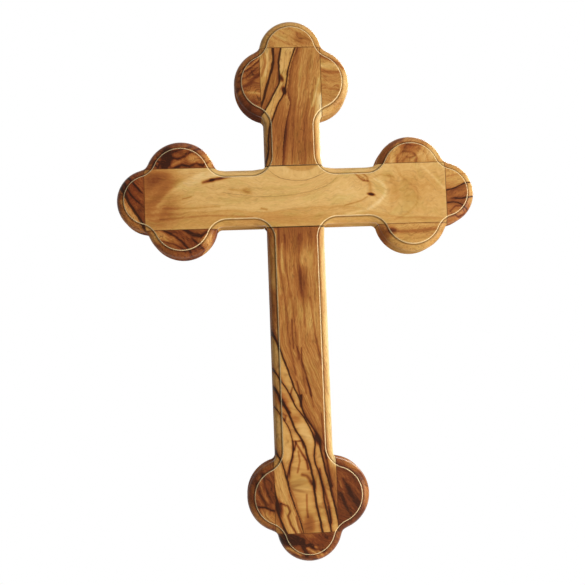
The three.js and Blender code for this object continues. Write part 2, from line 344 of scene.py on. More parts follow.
def beam_mesh(name, size, ends, upright):
    """Post or crossbar: a tube along the beam. Its half width is the least of the stock's, the
    guided line's and the sawn wall's, so a level runs into the glue plane where the router's sweep
    leaves the beam. Half the depth is taken out at the crossing."""
    levels = profile(size)
    stock = size.stock_half
    lap = -size.thickness / 2
    edges = []
    for sign, arm in zip((-1, 1), ends):
        for half in (1, -1):
            side = half * (sign if upright else -sign)
            guided = edge_arcs(size, arm, side, (size.bearing,) * 3)
            sawn = edge_arcs(size, arm, side, SAWN_CORNERS)
            lines = [(edge_line(guided, inset), edge_line(sawn, wall))
                     for inset, wall, _ in zip(*levels)]
            edges.append((sign, half, lines))

    cuts = [-stock, stock, -ends[0].end, ends[1].end]
    rows = list(cuts)
    for sign, half, lines in edges:
        end = ends[0].end if sign < 0 else ends[1].end
        rows.extend(sign * np.arange(0, end, ROW_SPACING))
        for pair in lines:
            for line in pair:
                side = np.nonzero(np.diff(np.sign(line.real - stock)))[0]
                share = (stock - line.real[side]) / (line.real[side + 1] - line.real[side])
                cut = line.imag[side] + share * (line.imag[side + 1] - line.imag[side])
                rows.extend(sign * cut[cut < end])
    rows = np.unique(np.round(rows, 3))
    fixed = np.isin(rows, np.round(cuts, 3))
    rows = rows[np.concatenate([[True], np.diff(rows) > LEAST_ROW]) | fixed]
    parts = [rows[rows <= -stock], rows[np.abs(rows) <= stock], rows[rows >= stock]]
    along = np.concatenate(parts)
    lapped = np.repeat([False, True, False], [len(part) for part in parts])

    width = {half: np.full((len(along), len(levels[0])), stock) for half in (1, -1)}
    for sign, half, lines in edges:
        chosen = along < 0 if sign < 0 else along >= 0
        for level, pair in enumerate(lines):
            for line in pair:
                limit = np.interp(np.abs(along[chosen]), line.imag, line.real)
                width[half][chosen, level] = np.minimum(width[half][chosen, level], limit)

    face = np.linspace(0, 1, FACE_COLUMNS)[1:-1]
    rear = np.linspace(0, 1, BACK_COLUMNS)[1:-1]
    y = levels[2]
    right = width[1]
    left = -width[-1]
    across = np.concatenate([
        right, right[:, -1:] * (1 - rear) + left[:, -1:] * rear, left[:, ::-1],
        left[:, :1] * (1 - face) + right[:, :1] * face], axis=1)
    depth = np.concatenate([y, 0 * rear + y[-1], y[::-1], 0 * face + y[0]])
    depth = np.tile(depth, (len(along), 1))
    keep = np.maximum if upright else np.minimum
    depth[lapped] = keep(depth[lapped], lap)
    run = np.tile(along[:, None], (1, across.shape[1]))
    points = np.stack([across, depth, run] if upright else [run, depth, across], axis=-1)
    points = np.concatenate([points, points[:, :1]], axis=1)
    return solid_mesh(name, [points], [points[0, :-1], points[-1, :-1]])


def side_bud_mesh(name, size, arm, side):
    """Side bud: the band of the edge between its two cuts, front and back faces ruled across to
    the glue plane, a glue face on the beam's side and another against the end bud. Where the
    outline cuts the beam's corner off, there is no second one."""
    stock = size.stock_half
    end = arm.end
    cleft = edge_arcs(size, arm, side, (size.bearing,) * 3)[3]
    corner = abs(complex(stock, end) - cleft[0]) - cleft[1]
    levels = profile(size, extra=(corner,))
    lines = bud_band(size, arm, side, list(zip(*levels)))
    starts = []
    ends = []
    on_end = []
    for line in lines:
        start = first_place(line.real - stock, True)
        back = int(math.ceil(start)) + 2
        glued = back + first_place(line.real[back:] - stock, False)
        sawn = first_place(line.imag - end, True)
        starts.append(start)
        ends.append(min(glued, sawn))
        on_end.append(sawn <= glued + SAME_PLACE)
    rows = cut_rows(lines, starts, ends, SIDE_BUD_ROWS)

    def place(points, y):
        return placed(side * points.real + 1j * points.imag, y, arm.turn)

    y = levels[2]
    band = place(rows, y[None, :])
    grids = [band]
    for level in (0, -1):
        glue_line = place(stock + 1j * rows[:, level].imag, y[level])
        grids.append(ruled(glue_line, band[:, level], SIDE_BUD_COLUMNS))
    glued = on_end.index(True) if any(on_end) else len(y)
    back_corner = grids[2][-1, :1]
    caps = [np.concatenate([
        grids[1][:, 0], band[-1, 1:glued + 1], back_corner, grids[2][::-1, 0][1:],
        band[0, ::-1][1:-1],
    ])]
    if any(on_end):
        caps.append(np.concatenate([band[-1, glued:], grids[2][-1, ::-1][1:]]))
    return solid_mesh(name, grids, caps)


def end_bud_mesh(name, size, arm):
    """End bud: the band of the edge from the beam's end round the tip, with front and back faces
    ruled across and one glue face."""
    levels = profile(size)
    y = levels[2]
    halves = []
    for side in (1, -1):
        lines = bud_band(size, arm, side, list(zip(*levels)))
        starts = [first_place(line.imag - arm.end, True) for line in lines]
        rows = cut_rows(lines, starts, [lines.shape[1] - 1.0] * len(lines), END_BUD_ROWS)
        rows[-1] = side * arm.sideways + 1j * rows[-1].imag
        halves.append(placed(side * rows.real + 1j * rows.imag, y[None, :], arm.turn))
    right, left = halves
    band = np.concatenate([right, left[::-1][1:]])
    grids = [band]
    for level in (0, -1):
        grids.append(ruled(left[:, level], right[:, level], END_BUD_COLUMNS))
    cap = np.concatenate([right[0], grids[2][0][::-1][1:-1], left[0][::-1], grids[1][0][1:-1]])
    return solid_mesh(name, grids, [cap])


# Figure of the wood

FAR = 10.0  # where no vein or glue line is near
VEIN_GAP = 0.3  # least distance from vein to vein
FLOW_GAP = 1.2  # the same for the lines that the grain between the veins follows
STEP_WIDTH = 1.2  # over which the tone changes across a vein
VEIN_FADE = 4  # over which a vein's ends fade
ZONE_FADE = 12  # over which one zone gives way to the next
ZONE_INK = 0.7  # share of a zone from which its veins show
SWAY = 0.25  # sideways sway of the grain, and its lengths along and into the wood
SWAY_ALONG = 5.3
SWAY_DEPTH = 6
VEIN_SHIFTS = (-1.8, -0.9, 0, 0.9, 1.8)  # places along a vein whose offsets are averaged
FLOW_SHIFTS = (-12, -8, -4, 0, 4, 8, 12)


class Zone(NamedTuple):
    """A stretch of one piece with what was drawn on it, in millimetres on the front."""

    lie: float  # degrees that the grain turns up from the right
    tone: float  # 0 for sapwood, 1 for the dark heart
    red: float = 0
    lean: float = 0.3  # shift across the grain for each millimetre of depth
    shade: float = 0.3  # strength of the brown shade beside the veins
    parting: float = 0  # how far the veins part for each millimetre of depth
    span: tuple = (-1e3, 1e3)  # where it lies along the grain
    veins: list = []
    strokes: list = []
    patches: list = []


def ease(value):
    """Smooth step from 0 to 1."""
    value = np.clip(value, 0, 1)
    return value * value * (3 - 2 * value)


def stroke_field(x, z, half, points):
    """Soft stroke: exp(-(distance to the drawn line / half width) squared)."""
    nearest = np.full(x.shape, 1e6)
    for (x0, z0), (x1, z1) in zip(points[:-1], points[1:]):
        span = (x1 - x0) ** 2 + (z1 - z0) ** 2
        share = np.clip(((x - x0) * (x1 - x0) + (z - z0) * (z1 - z0)) / span, 0, 1)
        gap = np.hypot(x - x0 - share * (x1 - x0), z - z0 - share * (z1 - z0))
        nearest = np.minimum(nearest, gap)
    return np.exp(-(nearest / half) ** 2)


def patch_field(x, z, patch):
    """Soft oval: exp(-(distance in radii) cubed), turned by an angle."""
    x0, z0, radius_x, radius_z, turn = patch
    c = math.cos(math.radians(turn))
    s = math.sin(math.radians(turn))
    along = ((x - x0) * c + (z - z0) * s) / radius_x
    across = ((z - z0) * c - (x - x0) * s) / radius_z
    return np.exp(-(along ** 2 + across ** 2) ** 1.5)


def averaged(along, run, offset, shifts):
    """A drawn line's offset at each point, averaged over the places so far along the grain."""
    return sum(np.interp(along + shift, run, offset) for shift in shifts) / len(shifts)


def kept_apart(lines, least):
    """The lines, each moved up to lie at least so far above the one before it."""
    spread = np.arange(len(lines))[:, None] * least
    return np.maximum.accumulate(np.array(lines) - spread, axis=0) + spread


def zone_figure(x, y, z, zone, thickness):
    """One zone's figure. Veins are drawn as across = f(along the grain) in the front plane and
    lean, and may part, as they go deeper. The vein field is the distance to the nearest vein,
    with a sign that alternates from vein to vein, so that it passes evenly through zero on
    each."""
    lie = math.radians(zone.lie)
    c = math.cos(lie)
    s = math.sin(lie)
    depth = y + thickness
    along = x * c + z * s
    across = z * c - x * s + zone.lean * depth
    sway = np.sin(along / SWAY_ALONG + 0.4 * zone.lie) * np.cos(depth / SWAY_DEPTH)
    across = across + SWAY * sway
    x = along * c - across * s
    z = along * s + across * c
    tone = np.full(x.shape, float(zone.tone))
    red = np.full(x.shape, float(zone.red))
    distance = np.full(x.shape, FAR)
    ink = np.zeros(x.shape)
    warped = across.copy()
    if zone.veins:
        lines = []
        flows = []
        fades = []
        for _, _, _, _, points in zone.veins:
            flat = np.array(points, float)
            run = flat[:, 0] * c + flat[:, 1] * s
            offset = flat[:, 1] * c - flat[:, 0] * s
            order = np.argsort(run)
            lines.append(averaged(along, run[order], offset[order], VEIN_SHIFTS))
            flows.append(averaged(along, run[order], offset[order], FLOW_SHIFTS))
            fades.append(ease((along - run.min()) / VEIN_FADE)
                         * ease((run.max() - along) / VEIN_FADE))
        fades = np.array(fades)
        lines = kept_apart(lines, VEIN_GAP + zone.parting * depth)
        gaps = across - lines
        nearest = np.argmin(np.abs(gaps), axis=0)
        pick = np.arange(x.size)
        distance = gaps[nearest, pick] * np.where(nearest % 2, -1, 1)
        widths = np.array([vein[0] for vein in zone.veins])
        ink = widths[nearest] * fades[nearest, pick]
        for gap, fade, (_, step, low, high, _) in zip(gaps, fades, zone.veins):
            tone += step * ease(gap / STEP_WIDTH + 0.5)
            if low:
                tone += zone.shade * fade * (gap <= 0) * np.exp(gap / low)
            if high:
                tone += zone.shade * fade * (gap > 0) * np.exp(-gap / high)
        rests = np.array([np.median(line) for line in lines])
        flows = kept_apart(flows, FLOW_GAP)
        past = across - flows
        nearest = np.argmin(np.abs(past), axis=0)
        warped = past[nearest, pick] + rests[nearest]
        below = (past > 0).sum(axis=0)
        between = (below > 0) & (below < len(rests))
        lower = np.clip(below - 1, 0, len(rests) - 1)
        upper = np.clip(below, 0, len(rests) - 1)
        width = np.maximum(flows[upper, pick] - flows[lower, pick], VEIN_GAP)
        share = past[lower, pick] / width
        warped = np.where(between, rests[lower] + share * (rests[upper] - rests[lower]), warped)
    for amount, half, points, *blush in zone.strokes:
        mark = stroke_field(x, z, half, points)
        tone += amount * mark
        red += (blush[0] if blush else 0) * mark
    for amount, blush, patch in zone.patches:
        mark = patch_field(x, z, patch)
        tone += amount * mark
        red += blush * mark
    return np.array([distance, ink, tone, red, warped, along, depth])


def lay_figure(piece, zones, glue_planes, thickness):
    """Stores the figure on the piece's points: vein distance and ink in millimetres, tone from
    sapwood to heart, redness, grain coordinates, and the distance to the nearest glue line."""
    mesh = piece.data
    flat = np.zeros(len(mesh.vertices) * 3, np.float32)
    mesh.vertices.foreach_get("co", flat)
    x, y, z = flat.reshape(-1, 3).T.astype(float) / MM
    fields = None
    for zone in zones:
        values = zone_figure(x, y, z, zone, thickness)
        along = values[5]
        weight = ease((along - zone.span[0]) / ZONE_FADE + 0.5)
        weight = weight * ease((zone.span[1] - along) / ZONE_FADE + 0.5)
        values[1] *= ease((weight - ZONE_INK) / (1 - ZONE_INK))
        if fields is None:
            fields = values
            held = weight
        else:
            mixed = fields + (values - fields) * weight
            mixed[:2] = np.where(weight > held, values[:2], fields[:2])
            fields = mixed
            held = np.maximum(held, weight)
    glue = np.full(x.shape, FAR)
    for axis, place, scale in glue_planes:
        glue = np.minimum(glue, np.abs((x, y, z)[axis] - place) * scale)
    for name, values in zip(("vein", "ink", "tone", "red", "glue"), (*fields[:4], glue)):
        layer = mesh.attributes.new(name, "FLOAT", "POINT")
        layer.data.foreach_set("value", values.astype(np.float32))
    layer = mesh.attributes.new("grain", "FLOAT_VECTOR", "POINT")
    vector = np.stack(fields[4:], axis=-1).astype(np.float32)
    layer.data.foreach_set("vector", vector.ravel())


# A vein: ink half width, change of tone across it, brown shade before and after it, its points.
# A stroke: amount, half width, points and perhaps redness. A patch: amount, redness, oval, which
# is its middle, its two radii and its turn.
FIGURES = {
    "post": [Zone(-90, 0.4, lean=0.35, parting=0.1, span=(-200, -2), veins=[
        (0.72, 0.18, 1.3, 0.9, [(-7.4, 73), (-7.8, 69.4), (-7.2, 65), (-8.6, 59.4), (-10, 56),
            (-11.4, 52), (-13, 46), (-15, 40), (-19, 30)]),
        (0.6, -0.22, 0.8, 0, [(-3, 73), (-3.5, 70), (-5, 64), (-5.4, 57), (-5.1, 54), (-6.4, 51.4),
            (-9, 46.8), (-12.2, 40.3), (-15, 36)]),
        (0.52, 0.1, 0.5, 0.5, [(4, 73), (2.9, 70), (0.7, 64.5), (-1.3, 58.5), (-2.3, 53),
            (-3.7, 47.5), (-6.3, 43.4), (-8.7, 36.5), (-10.4, 31), (-10.9, 24), (-11.4, 20),
            (-13, 14.4), (-15, 8)]),
        (0.1, 0.05, 0, 1.5, [(5, 73), (3.8, 70), (1.6, 64.5), (-0.4, 58.5), (-1.3, 53), (-2.4, 48),
            (-0.8, 45), (-0.8, 42), (-2.4, 36), (-4, 28), (-5.2, 21), (-5.6, 14), (-6, 8)]),
    ], strokes=[
        # Painted highlight: a pale stroke down the right-hand quarter round, where the light falls
        (-0.42, 2.1, [(13.8, 46), (13.8, 14)]),
        (-0.22, 0.5, [(13, 55), (11.6, 49), (9.6, 42)]),
        (0.16, 0.9, [(-12.5, 70), (-11.2, 63), (-13.5, 57)]),
        (-0.18, 0.9, [(-10.5, 69), (-10.2, 63), (-12, 57)]),
        (0.1, 0.9, [(8, 45), (6, 30), (4.5, 14)]),
        (0.1, 0.8, [(4, 70), (3, 60), (1.5, 50), (1.5, 40), (0, 28), (-1, 16)]),
        (0.07, 0.7, [(9.5, 68), (8, 58), (7, 50)]),
    ], patches=[
        (0.6, 0.1, (-4.5, 55.4, 1, 1.9, 20)),
        (0.75, 0, (-3.5, 49.6, 1, 1.9, 20)),
        (0.1, 0.1, (5, 28, 9, 14, 0)),
        (0.18, 0.1, (-6, 30, 4.5, 17, -8)),
    ]), Zone(-90, 0.52, lean=0.35, shade=0.36, span=(-2, 200), veins=[
        (0.62, -0.1, 1.2, 0.8, [(-24, -100), (-17, -117), (-14.5, -125.7), (-14.1, -133.6),
            (-13.1, -138.6), (-13, -143.6), (-11.3, -149.3), (-9.1, -153.6), (-7, -158)]),
        (0.52, 0, 0.6, 0.9, [(-15, -108), (-12.2, -117), (-10.5, -121), (-9, -126), (-7.6, -131),
            (-6.4, -137), (-4.6, -143), (-2.8, -149), (-1.8, -153.5), (-0.5, -158)]),
        (0.34, 0, 0.5, 0.6, [(-14, -92), (-12, -96), (-9, -101.5), (-6.5, -106), (-5.6, -110),
            (-5.2, -115), (-5.6, -118), (-7.2, -124), (-6.9, -130)]),
        (0.64, -0.02, 0.9, 0.9, [(-20, -73), (-16, -80), (-11.3, -89), (-10.5, -91), (-9, -95),
            (-6.5, -98.5), (-5, -103), (-3.8, -107), (-1.5, -111), (0.2, -114), (0.9, -119),
            (3, -125), (4.1, -131.4), (4.2, -137), (4.9, -143), (5.9, -148.6), (6.6, -153.6),
            (7.5, -158)]),
        (0.48, 0, 0.5, 0.8, [(-20, -62), (-16, -71), (-11, -82), (-9.5, -85), (-7, -88.7),
            (-5, -92.5), (-3, -96.5), (-0.5, -100), (1, -102), (2.4, -105), (4, -109), (5, -113),
            (4, -117), (4.2, -121), (5.5, -125), (7, -129), (8, -134), (8.2, -140), (9.4, -147),
            (10.7, -153), (11.5, -158)]),
        (0.52, 0.16, 0.4, 1.2, [(-20, -40), (-16, -52), (-13, -59), (-11, -65), (-9.6, -69),
            (-8, -75), (-6, -81), (-4.2, -87), (-2.5, -90.5), (-0.9, -93), (-0.8, -95.5),
            (0.3, -99), (1.8, -102.3), (3.4, -105), (5, -107.5), (6.2, -110), (6.8, -113),
            (7.3, -117), (8.3, -121.5), (9.2, -125), (11, -131.5), (12.3, -138.6), (13.6, -145.7),
            (14, -150), (14.4, -158)]),
    ], strokes=[
        # Painted highlight: a pale stroke down the right-hand quarter round, where the light falls
        (-0.42, 2.1, [(13.8, -14), (13.8, -122)]),
        (0.16, 0.5, [(-8.5, -14), (-8.2, -30), (-7, -42), (-6, -55), (-4.5, -70), (-3, -82)]),
        (0.14, 0.5, [(-5.6, -18), (-5.2, -30), (-4, -45), (-2, -60), (-1, -75)]),
        (0.12, 0.6, [(1.2, -18), (0.8, -30), (1.6, -48), (2.5, -60)]),
        (-0.14, 0.5, [(-7, -22), (-6.6, -35)]),
        (-0.1, 0.5, [(-9.6, -16), (-9.4, -30), (-8.5, -45)]),
        (0.18, 0.5, [(5, -47), (6.3, -58), (8, -69), (9, -78)]),
        (0.3, 0.35, [(0.5, -70), (0.3, -76), (1.2, -80), (3, -87), (4.2, -92)]),
        (0.25, 0.4, [(-3.5, -57), (-3, -70)]),
        (0.25, 0.3, [(-2.5, -85), (-1, -92)]),
        (0.34, 0.4, [(-4.6, -87.9), (-5.5, -91.3), (-4, -94)]),
        (0.5, 0.5, [(-0.4, -91.5), (-0.7, -96.3)]),
        (0.4, 0.6, [(-9.6, -92.9), (-7.6, -96.4), (-5.7, -99.1)], 0.6),
        (0.3, 0.5, [(-9.4, -99), (-7.6, -100.4), (-8.2, -102.4)]),
        (-0.16, 0.6, [(-10.2, -61.5), (-8, -71.2), (-5.1, -81.8), (-2.1, -90.6)]),
        (0.14, 0.5, [(-1.3, -69.7), (0.1, -77.6), (0.7, -84.6), (1.8, -90.7)]),
        (0.16, 0.5, [(1.7, -83.8), (3.6, -89.9), (5.1, -96.9)]),
        (0.4, 0.4, [(-4.8, -116), (-3.8, -112.2), (-1.2, -111.8), (-0.6, -115)]),
        (0.34, 0.45, [(-5.2, -112), (-5.6, -119.2), (-7, -123.4), (-8, -128)]),
        (0.4, 0.45, [(-4.3, -112), (-1.4, -117.6), (0.7, -121.1), (1.4, -124.6)], 0.5),
        (0.26, 0.4, [(-3.1, -116.7), (-2.4, -121), (-3.4, -126.1)]),
        (0.34, 0.7, [(-1.3, -127.1), (0.9, -127.8), (2.1, -129.4), (3, -131.4)]),
        (0.36, 0.4, [(9.1, -117.2), (10.2, -122.4), (11.3, -128.5), (12.2, -133)]),
        (0.34, 0.5, [(6.6, -124.9), (7.3, -130), (8.8, -135.3), (10.1, -141.3), (10.6, -149)]),
        (0.26, 0.4, [(0.5, -136), (0.1, -142.6), (0.3, -146)]),
        (0.4, 0.45, [(-11.3, -139.5), (-8.3, -140.9), (-7.4, -143.1), (-8.7, -145.2),
            (-7.6, -149.1), (-5.3, -153)]),
        (0.34, 0.4, [(-5, -145.8), (-4.3, -149.2), (-2.7, -153.5)]),
        (0.2, 0.5, [(9.8, -142), (10.6, -147), (10.2, -151)]),
        (0.2, 0.5, [(8.6, -100), (8.8, -112), (9.6, -120)]),
    ], patches=[
        (0.18, 0.1, (1.6, -40, 2.4, 9, 0)),
        (-0.1, 0, (4.6, -27, 2.6, 7, 0)),
        (-0.14, 0, (2.2, -30, 0.8, 3, 0)),
        (-0.13, 0, (5.4, -56, 3.2, 8, 10)),
        (-0.06, 0, (1, -53, 2, 7, 10)),
        (0.14, 0.2, (0, -17, 14, 8, 0)),
        (0.18, 0.5, (-8.8, -93.6, 2.4, 4.4, 30)),
        (0.16, 0.2, (-2.6, -101.8, 1.8, 2.4, 20)),
        (0.3, 0.1, (0.9, -149, 2.6, 5, 0)),
        (0.12, 0, (9, -136, 3, 14, 8)),
        (0.55, 0.2, (6, -111.6, 1.3, 3, 20)),
        (0.5, 0.7, (-12.4, -141.4, 1.7, 3.6, 10)),
        (0.4, 0.5, (4.1, -132, 0.9, 2.6, 0)),
        (0.06, 0, (-1, -138, 8, 14, 10)),
    ])],
    "crossbar": [Zone(0, 0.39, lean=0.4, shade=0.05, veins=[
        (0, -0.03, 0, 1, [(-74, -10.5), (-50, -10), (-30, -9.4), (-15, -10.4), (0, -9.6),
            (20, -8.8), (34, -9), (50, -12), (74, -13)]),
        (0.07, -0.05, 1, 0, [(-74, -7), (-62, -6), (-40, -6.5), (-30, -5), (-20, -6.5),
            (-12, -7.5), (-5, -6.3), (2, -5.3), (10, -4.8), (20, -5), (30, -6.5), (40, -9),
            (50, -11), (74, -12)]),
        (0.14, 0, 0.8, 0, [(-36, 3), (-25, 1.5), (-18, 0.3), (-12, -0.2), (-6, 0), (0, 0.8),
            (5, 1.9), (8, 2.2), (12, 3.8), (16, 5.2), (20, 8), (21.5, 11), (22.5, 15)]),
        (0.18, 0, 0.9, 0.4, [(-14, 14.5), (-10.5, 11), (-8, 8.8), (-4, 7.6), (2, 7.2), (7, 7.6),
            (11, 9.3), (15, 11), (18, 14.5)]),
        (0.1, 0.16, 0.5, 0, [(-6, 15), (-3, 13.2), (0, 12), (4, 11.7), (8, 12.6), (10, 13.3),
            (12, 15)]),
    ], strokes=[
        # Pale arcs: partly paler figure and partly painted sheen of the fibres
        (-0.11, 2.4, [(-64, -6), (-58.5, 0.5), (-52, 5.6), (-45, 8.6), (-37, 10.4)]),
        (-0.08, 0.9, [(-63, -3), (-57, 3.4), (-50, 8.4), (-42, 11)]),
        (-0.08, 1.8, [(-67, 1), (-60, 8), (-50, 12.4)]),
        (0.36, 0.8, [(-42, 7.2), (-37.6, 8.1)]),
        (0.32, 0.6, [(-38.6, 8.5), (-34, 9.1), (-29.6, 9.9)]),
        (0.14, 0.5, [(-62, -9), (-45, -8.4), (-30, -8.2), (-20, -9)]),
        (0.12, 0.5, [(-60, -4), (-45, -4.6), (-35, -4)]),
        (0.2, 0.35, [(-51.6, 0.1), (-49.5, 0.4), (-47.6, 0.8)]),
        (0.22, 0.5, [(-15.6, -5.4), (-13.2, -6.1)]),
        (0.2, 0.35, [(23, -5.2), (28, -4), (31, -3), (33.5, -1.2)]),
        (0.36, 0.4, [(28.2, 9.7), (29.8, 7.8), (32, 6.2), (34.4, 6)]),
        (0.3, 0.4, [(29.6, 10.2), (31.6, 9.6), (33.8, 8), (34, 6.4)]),
        (0.25, 0.35, [(30, 8.6), (31.6, 7.8), (32.6, 6.6)]),
        (0.16, 0.8, [(35, 5), (35.3, 1)]),
        (-0.12, 0.9, [(24, -9.4), (33, -7.4), (38.5, -4), (41.8, -0.5), (42.4, 2.5), (40.5, 5.5),
            (37, 7.5)]),
        (0.06, 1.8, [(43, -8), (46.5, -2), (46.5, 4), (44, 9)]),
        (0.08, 0.5, [(47, 13), (49.6, 8), (53, 4.8), (56, 2.4), (57.4, -1), (56.6, -5), (54, -8),
            (50.6, -10.4), (46, -12)]),
        (-0.12, 0.6, [(60, 12), (66, 6), (69.5, 2)]),
        (0.1, 0.5, [(36, 7.5), (40, 9.2), (46, 8)]),
        (0.1, 0.5, [(-30, 4), (-24, 3.4), (-20, 1.6)]),
    ], patches=[
        (0.34, 0.1, (-64, 2, 11, 14, 0)),
        (0.16, 0.1, (-60, 10, 14, 4, 0)),
        (0.06, 0, (-52, -6, 16, 5, 0)),
        (0.36, 0.1, (-36.5, 8.4, 5, 0.9, 12)),
        (0.07, 0.1, (-12, -11, 26, 2.6, 0)),
        (0.14, 0, (-22, 3.2, 2.2, 1.6, 0)),
        (0.9, 0, (35.4, -0.1, 1.7, 0.7, -8)),
        (0.05, 0, (50, 3, 8, 10, 0)),
        (0.08, 0, (62, 0, 13, 14, 0)),
        (-0.05, 0, (25, 1, 8, 4, 0)),
    ])],
    "top_end": [Zone(-33, 0.45, strokes=[
        (0.08, 0.4, [(-10, 77), (-5, 73.6), (0, 71)]),
        (0.08, 0.4, [(-6, 79), (0, 75.2), (6, 71.4)]),
        (-0.1, 0.5, [(-8, 76.6), (-2, 73.4)]),
        (0.08, 0.5, [(0, 79), (6, 75.4), (11, 72.4)]),
        (0.13, 0.9, [(3.6, 76.4), (5.4, 74.2)]),
    ], patches=[
        (0.12, 0, (6, 73, 5, 3.5, 0)),
        (0.06, 0, (-9, 72, 4, 3, 0)),
    ])],
    "top_right": [Zone(-10, 0.5, strokes=[
        (0.22, 1, [(14, 66), (18, 64.2), (22, 62.4), (25, 60)]),
        (-0.15, 1.3, [(14, 61.4), (19, 61), (22.6, 60)]),
        (0.16, 0.9, [(14, 58.6), (18, 57.8), (23, 57.6)]),
        (0.06, 0.4, [(15, 54), (24, 52.4)]),
        (0.07, 0.4, [(15, 50.4), (23, 49)]),
        (0.06, 0.4, [(15, 47.6), (21, 45.6)]),
    ], patches=[
        (-0.16, 0, (19, 38, 9, 4, 0)),
        # Painted highlight: a pale strip on the right-hand quarter round, where the light falls
        (-0.2, 0, (26, 52, 2, 12, 0)),
    ])],
    "top_left": [Zone(36, 0.68, red=0.2, strokes=[
        (0.22, 0.9, [(-25, 50.4), (-20, 52.4), (-16.5, 55.6), (-13.6, 58)]),
        (0.26, 0.45, [(-24, 57), (-19, 60), (-14, 64.4)]),
        (0.22, 0.4, [(-22, 60.4), (-18, 63), (-14, 67)]),
        (-0.16, 0.5, [(-23, 58.6), (-18, 61.4), (-14, 65.6)]),
        (0.2, 0.4, [(-24.4, 54.4), (-20.4, 56), (-16, 60)]),
        (-0.16, 0.6, [(-21, 48.8), (-17, 48.6), (-14.4, 48.2)]),
    ], patches=[
        (-0.1, -0.2, (-17, 47, 5, 3.4, -10)),
        (0.2, 0, (-22, 42, 8, 6, 0)),
    ])],
    "right_end": [Zone(12, 0.62, red=0.3, veins=[
        (0.42, 0.06, 0.5, 0.5, [(68, -5.4), (70.5, -5.6), (73.5, -4.8), (77, -5.6), (79.6, -7.6),
            (84, -10)]),
        (0.42, 0, 0.5, 0.5, [(71, -3.6), (74, -3), (78, -3.4), (81, -2.4), (86, 0)]),
        (0.4, -0.15, 0.6, 0.3, [(66, 0), (70.5, 0.7), (74, 1.4), (77, 3), (80, 4.6), (86, 6)]),
    ], strokes=[
        (0.12, 0.4, [(71, 7), (76, 8.2), (80, 9.4)]),
        (0.22, 0.4, [(72, -9.4), (74.6, -6.8), (77.8, -7), (79, -9.6), (76, -11.4), (72.6, -10.6)]),
    ], patches=[
        (-0.1, -0.5, (76, 8, 8, 5, 0)),
        # Painted highlight: a pale strip on the right-hand quarter round, where the light falls
        (-0.3, -0.3, (82.5, 2, 2, 10, 0)),
    ])],
    "right_upper": [Zone(58, 0.55, red=0.1, strokes=[
        (0.2, 1.3, [(40, 13), (41.6, 18), (45.4, 23), (50, 26)]),
        (-0.16, 1.3, [(45.4, 13), (46, 18), (48.4, 23)]),
        (0.17, 0.55, [(48.2, 14.4), (48.6, 17.4), (51, 19.6), (55, 19.2), (57.4, 17), (57, 14.6)]),
        (0.14, 0.45, [(50.8, 14.8), (52.6, 17), (54.6, 16.4)]),
        (0.13, 0.5, [(50, 24.6), (55, 22.4), (60, 22.6)]),
        (0.11, 0.5, [(58.4, 21.4), (61.6, 18.6), (62.6, 15)]),
        (-0.11, 0.6, [(54.6, 15), (59.4, 18.6), (61, 22)]),
        (0.1, 0.4, [(42, 15), (44, 20), (47.6, 24)]),
    ], patches=[
        (0.16, 0.6, (53.4, 22, 3.4, 2.2, 0)),
        (-0.16, 0, (61, 17, 3, 4, 0)),
        (-0.2, 0, (66, 18, 3, 6, 30)),
    ])],
    "right_lower": [Zone(-2, 0.47, strokes=[
        (-0.06, 0.6, [(46, -15.2), (55, -15), (64, -15.4)]),
        (0.18, 0.8, [(44, -17.2), (50, -17.8), (57, -18), (64.6, -17.4)]),
        (0.05, 0.5, [(46, -20.4), (56, -21.4), (62, -20.8)]),
    ], patches=[
        (0.25, 0, (44.4, -17, 2.2, 1.6, 0)),
        (0.22, 0.1, (39.6, -18, 4, 4.4, 0)),
        (-0.05, 0, (54, -25, 12, 3, 0)),
    ])],
    "left_end": [Zone(-58, 0.58, red=0.4, veins=[
        (0.75, 0.18, 0, 1, [(-81, 10), (-79.5, 6.5), (-77, 1), (-75, -2.5), (-72.5, -6),
            (-70, -11), (-68, -15)]),
        (0.38, 0, 0.6, 0.5, [(-79, 12), (-78, 9), (-76.5, 5), (-74.5, 2.2), (-72.5, 0), (-69, -3)]),
        (0.55, 0, 0.6, 0.4, [(-78, 14), (-76.5, 11.5), (-74, 8), (-71.5, 5), (-68, 2)]),
    ], strokes=[
        (-0.2, 0.8, [(-79, 0), (-76.4, -4), (-73, -9)]),
    ], patches=[
        (0, 0.6, (-73, 4, 5, 8, 0)),
        (0.2, 0, (-82, 2, 3, 10, 0)),
    ])],
    "left_upper": [Zone(-16, 0.74, red=0.45, strokes=[
        (0.27, 0.6, [(-56, 19.4), (-53, 18.8), (-50, 20), (-46.4, 22.4), (-43, 24)]),
        (0.27, 0.5, [(-55.6, 22), (-51, 23.4), (-47, 25)]),
        (0.31, 0.65, [(-55, 14.4), (-51.4, 16), (-48, 15), (-45, 16.3), (-42, 15), (-39.4, 17)]),
        (0.27, 0.45, [(-65, 15.6), (-63.4, 18.6), (-61.4, 17), (-62.4, 14.8), (-64, 16.4)]),
        (-0.14, 0.7, [(-57.4, 15), (-54, 17), (-50.6, 18)]),
        (-0.17, 0.6, [(-52.4, 24.6), (-49, 24), (-46.6, 22.8)]),
    ], patches=[
        (0.55, -0.2, (-58.4, 19, 2.4, 6, -8)),
        # Painted highlight: pale strips on the right-hand quarter round, where the light falls
        (-0.3, -0.1, (-41, 24.5, 1, 5, 35)),
        (-0.26, -0.1, (-38.6, 20, 0.9, 4, 25)),
        (-0.26, 0, (-46, 18.6, 3.6, 2.4, -20)),
        # Painted highlight: another pale strip on the right-hand quarter round
        (-0.3, 0, (-39.6, 17, 2, 4, 20)),
    ])],
    "left_lower": [Zone(-36, 0.77, red=0.4, strokes=[
        (0.31, 0.5, [(-61, -14), (-56, -17), (-52, -20.4), (-48.4, -24.4)]),
